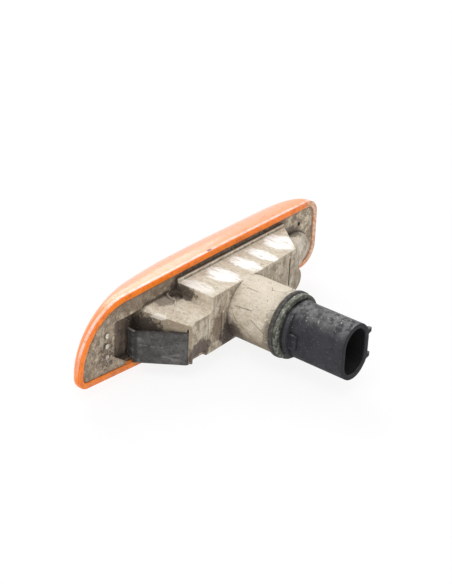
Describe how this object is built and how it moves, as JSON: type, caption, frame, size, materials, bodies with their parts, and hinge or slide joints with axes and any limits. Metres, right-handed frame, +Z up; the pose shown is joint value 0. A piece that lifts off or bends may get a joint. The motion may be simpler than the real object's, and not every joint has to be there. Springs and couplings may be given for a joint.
{
  "type": "side repeater lamp",
  "caption": "Long, low side repeater lamp with an amber crowned lens, a boxed moulded back, a spring clip and a twist-in bulb holder with a plug socket.",
  "frame": {"origin": "where the bulb tube's axis meets the plane of the lens rim that seats on the panel", "axes": "+X runs along the lens from its swept end to its blunt end, +Y points out of the panel through the lens, +Z is up, -Y points into the panel along the bulb tube"},
  "size_m": [0.1265, 0.0769, 0.0304],
  "materials": {
    "amber_lens": "moulded amber acrylic",
    "housing_plastic": "aged beige-grey moulding, dusty",
    "clip_steel": "blackened spring steel, scuffed",
    "seal_rubber": "dusty rubber",
    "holder_plastic": "charcoal moulding, dusty",
    "contact_brass": "stamped strip",
    "bulb_glass": "clear blown glass",
    "filament_wire": "drawn tungsten wire",
    "lead_wire": "drawn wire"
  },
  "bodies": {
    "lamp": {"lens": "amber_lens", "housing": "housing_plastic"},
    "holder": {"bulb_holder": "holder_plastic", "holder_seal": "seal_rubber", "contact_upper": "contact_brass", "contact_lower": "contact_brass", "bulb_glass": "bulb_glass", "filament": "filament_wire", "lead_wire_left": "lead_wire", "lead_wire_right": "lead_wire"},
    "clip": {"spring_clip": "clip_steel"}
  },
  "joints": [
    {"name": "holder_twist", "type": "hinge", "parent": "lamp", "child": "holder", "pos_m": [0, -0.0332, 0], "axis": [0, -1, 0], "range_deg": [0, 60]},
    {"name": "clip_flex", "type": "hinge", "parent": "lamp", "child": "clip", "pos_m": [-0.0302, -0.0146, 0], "axis": [0, 0, -1], "range_deg": [0, 7], "stiffness_Nm_per_rad": 3}
  ]
}
